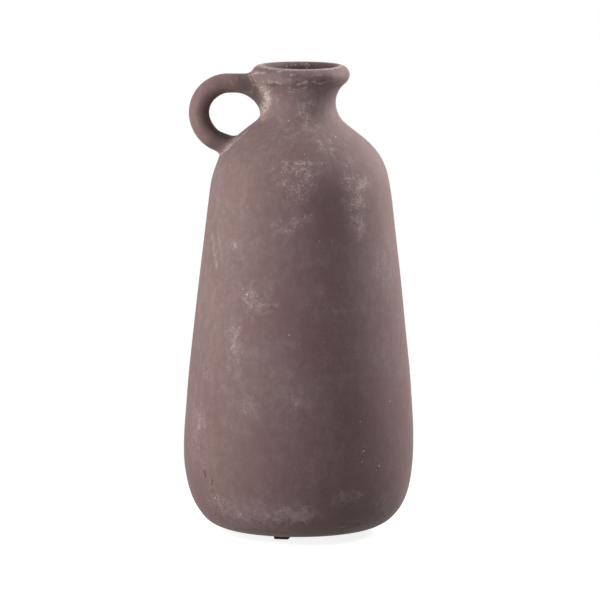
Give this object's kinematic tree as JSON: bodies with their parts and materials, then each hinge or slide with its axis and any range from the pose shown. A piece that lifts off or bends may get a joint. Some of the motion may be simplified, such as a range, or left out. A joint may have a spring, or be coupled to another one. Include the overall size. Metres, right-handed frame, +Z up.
{
  "type": "jug vase",
  "caption": "Tall hollow clay jug vase with rounded base, sloping shoulder, narrow neck, rolled lip and one loop handle, on small foot pads.",
  "frame": {"origin": "on the vessel's axis, at the surface that the foot pads rest on", "axes": "+Z up through the mouth, handle towards -X, the pictured front towards -Y"},
  "size_m": [0.186, 0.186, 0.3819],
  "materials": {
    "clay": "matte, chalky wash over unglazed brown clay",
    "pad": "matte black"
  },
  "bodies": {
    "root": {"jug": "clay", "foot_pad_1": "pad", "foot_pad_2": "pad", "foot_pad_3": "pad"}
  },
  "joints": []
}
